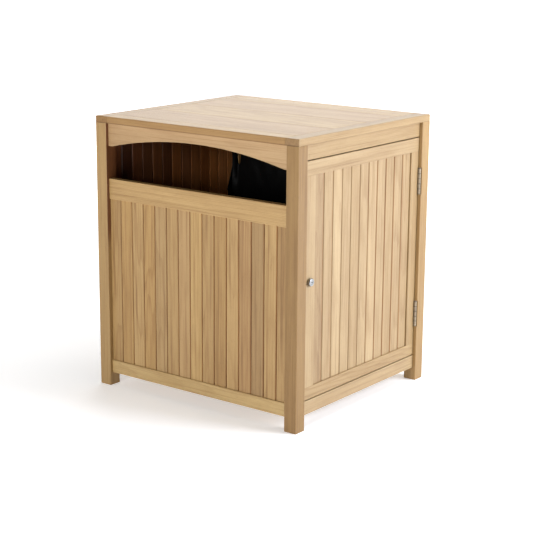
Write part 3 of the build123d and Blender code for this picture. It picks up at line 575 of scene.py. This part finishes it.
def eased(value, low, high):
    """0 below low, 1 above high, and a smooth step between them."""
    share = min(max((value - low) / (high - low), 0.0), 1.0)
    return share * share * (3.0 - 2.0 * share)


def crest(x, y, z):
    """Noise with sharp crests, from 0 in the hollows to 1 along a crest."""
    return max(0.0, 1.0 - 2.4 * abs(noise.noise(Vector((x, y, z))))) ** 1.4


def raised_film(x, y, z, hooks):
    """The film above the rim: it bellies forward between its hooks, with folds that fan out from them.

    Under the left hook the pointed gap in it is tucked back towards the rear wall.
    """
    left, right = hooks[0][0], hooks[1][0]
    above_rim = z - RIM_LEVEL
    span = min(max((x - left) / (right - left), 0.0), 1.0)
    forward = BELLY * sin(pi * span) * eased(above_rim, *BELLY_ABOVE_RIM)
    forward += BACK_CREASE * crest(x * 13.0, 1.7, z * 3.2)
    forward += BACK_CRINKLE * crest(x * 42.0, 3.3, z * 38.0)
    free = 1.0
    for hook_x, hook_z in hooks:
        reach = hypot(x - hook_x, z - hook_z)
        turn = atan2(x - hook_x, hook_z - z)
        sway = noise.noise(Vector((x * 9.0, z * 9.0, hook_x * 7.0)))
        fold = 0.5 + 0.5 * sin(11.0 * turn + 2.5 * sway + 9.0 * hook_x)
        forward += HOOK_FOLD * fold * exp(-reach / HOOK_FOLD_REACH) * eased(reach, *FOLD_FROM_HOOK)
        free *= eased(reach, *FREE_FROM_HOOK)
    forward *= free * eased(above_rim, *FREE_ABOVE_RIM) * eased(x, *FREE_FROM_LEFT)
    beside_hook = exp(-(((x - left) / TUCK_HALF_WIDTH) ** 2))
    tucked = beside_hook * eased(z, *TUCK_FOOT) * (1.0 - eased(z, *TUCK_HEAD))
    forward -= TUCK_DEPTH * tucked
    x -= TUCK_SHIFT * tucked * eased(x, *TUCK_FROM_LEFT)
    drop = HANG_WAVER * noise.noise(Vector((x * 22.0, 5.1, 0.4))) * free * eased(z, *WAVER_HEIGHTS)
    return Vector((x, y - forward, z + drop))


def lining_film(x, y, z):
    """The film inside the liner: it hangs in upright folds and lies loosely on the base."""
    inward = Vector((-((x / LINING_HALF[X]) ** 7), -((y / LINING_HALF[Y]) ** 7), 0.0))
    inward.normalize()
    upright = LINING_FOLD * crest(x * 11.0, y * 11.0, z * 2.6)
    upright += LINING_CRINKLE * crest(x * 36.0, y * 36.0, z * 22.0)
    hangs = eased(z, *HANG_FOOT) * eased(RIM_LEVEL - z, *HANG_BELOW_RIM)
    lies = eased(BASE_LEVEL - z, *BASE_RISE)
    lies *= eased(BASE_HALF[X] - abs(x), *BASE_EDGE) * eased(BASE_HALF[Y] - abs(y), *BASE_EDGE)
    rise = BASE_FOLD * crest(x * 12.0, y * 12.0, 8.8) + BASE_CRINKLE * crest(x * 40.0, y * 40.0, 2.2)
    return Vector((x, y, z)) + inward * upright * hangs + Vector((0.0, 0.0, rise * lies))


def cuff_film(x, y, z):
    """The film outside the rim: its loose hem waves a little."""
    outward = Vector(((x / CUFF_HALF[X]) ** 9, (y / CUFF_HALF[Y]) ** 9, 0.0))
    outward.normalize()
    loose = eased(RIM_LEVEL - z, *CUFF_BELOW_RIM)
    wave = CUFF_WAVE * crest(x * 22.0, y * 22.0, z * 2.5)
    hem = HEM_WAVE * noise.noise(Vector((x * 14.0, y * 14.0, 6.6)))
    return Vector((x, y, z)) + outward * wave * loose + Vector((0.0, 0.0, hem * loose))


def make_sack():
    """The design's plain sack, cut into small faces and then sagged and creased as thin film is."""
    film = bmesh.new()
    film.from_mesh(nodes["sack"].data)
    bmesh.ops.remove_doubles(film, verts=film.verts, dist=1e-6)
    low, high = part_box("sack")
    for axis in (X, Y, Z):
        steps = round((high[axis] - low[axis]) / FILM_GRID)
        normal = Vector((axis == X, axis == Y, axis == Z))
        for step in range(1, steps):
            point = low + normal * (high[axis] - low[axis]) * step / steps
            every = film.verts[:] + film.edges[:] + film.faces[:]
            bmesh.ops.bisect_plane(film, geom=every, dist=1e-6, plane_co=point, plane_no=normal)
    bmesh.ops.dissolve_degenerate(film, edges=film.edges, dist=1e-5)
    hooks_low, hooks_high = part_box("sack_hooks")
    hooks = [(hooks_low.x + HOOK_COLLAR, hooks_low.z + HOOK_COLLAR)]
    hooks.append((hooks_high.x - HOOK_COLLAR, hooks_low.z + HOOK_COLLAR))
    for vertex in film.verts:
        x, y, z = vertex.co
        if z > RIM_LEVEL:
            vertex.co = raised_film(x, y, z, hooks)
        elif abs(x) > CUFF_X or abs(y) > CUFF_Y:
            vertex.co = cuff_film(x, y, z)
        else:
            vertex.co = lining_film(x, y, z)
    for face in film.faces:
        face.smooth = True
    for edge in film.edges:
        edge.smooth = edge.calc_face_angle(0.0) < SHARP_CREASE
    sack = mesh_piece("refuse_sack", film)
    normals = sack.data.attributes.get("custom_normal")
    if normals:
        sack.data.attributes.remove(normals)
    sack.data.materials.append(black_film("black_film"))
    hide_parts("sack")
    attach(sack, "liner_unit")


make_sack()

# ---------------------------------------------------------------- studio

MIDDLE = (0.0, 0.0, 0.45)
WHITE = (1.0, 1.0, 1.0)
COOL = (0.95, 1.0, 1.10)
FLOOR_HALF_SIDE = 60.0
NEAR_GLOW = 0.34
GLOW_GROWS = (0.8, 5.0)
BACKDROP = 1.0
FILL = 0.10
CAMERA_PLACE = Vector((2.5256, -3.2900, 1.3521))
CAMERA_AIM = Vector((0.0142, 0.0108, 0.3414))
CAMERA_ROLL = radians(0.4165)
CAMERA_LENS = 96.59
CAMERA_SENSOR = 36.0


def studio_floor(half_side, near_glow):
    """A pale floor that glows a little, like a light table, and more so further from the cabinet."""
    shape = bmesh.new()
    bmesh.ops.create_grid(shape, x_segments=1, y_segments=1, size=half_side)
    floor = mesh_piece("studio_floor", shape)
    finish = Finish("studio_floor")
    x, y, z = finish.object_place()
    patch = finish.noise(finish.vector(x, y, z), scale=0.8)
    away = ((x * x + y * y) ** 0.5).ramp(*GLOW_GROWS)
    finish.surface(
        Base_Color=finish.mix(patch, rgb(0.93, 0.93, 0.93), rgb(0.95, 0.95, 0.95)),
        Roughness=0.9,
        Emission_Color=finish.mix(away, rgb(near_glow, near_glow, near_glow), rgb(1.0, 1.0, 1.0)),
        Emission_Strength=1.0,
    )
    floor.data.materials.append(finish.material)


def soft_light(name, place, target, size, watts, colour=WHITE):
    light = bpy.data.lights.new(name, "AREA")
    light.shape = "SQUARE"
    light.size = size
    light.energy = watts
    light.color = colour
    lamp = bpy.data.objects.new(name, light)
    bpy.context.collection.objects.link(lamp)
    lamp.location = place
    lamp.rotation_mode = "QUATERNION"
    lamp.rotation_quaternion = (Vector(target) - Vector(place)).to_track_quat("-Z", "Y")


def white_surroundings(backdrop, fill):
    """White air behind the floor's far edge, which lights the object only a little."""
    world = bpy.data.worlds.new("studio_air")
    world.use_nodes = True
    tree = world.node_tree
    seen = tree.nodes.new("ShaderNodeLightPath")
    strength = tree.nodes.new("ShaderNodeMapRange")
    strength.inputs["To Min"].default_value = fill
    strength.inputs["To Max"].default_value = backdrop
    tree.links.new(seen.outputs["Is Camera Ray"], strength.inputs["Value"])
    tree.nodes["Background"].inputs["Color"].default_value = rgb(1.0, 1.0, 1.0)
    tree.links.new(strength.outputs["Result"], tree.nodes["Background"].inputs["Strength"])
    bpy.context.scene.world = world


def studio_camera():
    """The view from the front right, a little above the top."""
    data = bpy.data.cameras.new("camera")
    data.sensor_width = CAMERA_SENSOR
    data.lens = CAMERA_LENS
    camera = bpy.data.objects.new("camera", data)
    bpy.context.collection.objects.link(camera)
    camera.location = CAMERA_PLACE
    camera.rotation_mode = "QUATERNION"
    roll = Quaternion((0.0, 0.0, 1.0), CAMERA_ROLL)
    camera.rotation_quaternion = (CAMERA_AIM - CAMERA_PLACE).to_track_quat("-Z", "Y") @ roll
    bpy.context.scene.camera = camera


def from_bearing(azimuth, elevation, distance):
    """A place round the cabinet: azimuth 0 is in front of it, and 90 is to its right."""
    turn, rise = radians(azimuth), radians(elevation)
    flat = distance * cos(rise)
    return (flat * sin(turn), -flat * cos(turn), MIDDLE[Z] + distance * sin(rise))


studio_floor(FLOOR_HALF_SIDE, NEAR_GLOW)
white_surroundings(BACKDROP, FILL)
soft_light("front_light", from_bearing(5, 11, 6.0), MIDDLE, 1.0, 215.0)
soft_light("right_light", from_bearing(113, 20, 6.0), MIDDLE, 3.2, 455.0, COOL)
soft_light("rear_light", from_bearing(217, 22, 6.5), (0.0, 0.0, 0.8), 4.0, 170.0)
soft_light("top_light", (0.6, 0.6, 4.2), MIDDLE, 2.4, 78.0)
studio_camera()
bpy.context.scene.view_settings.view_transform = "Standard"
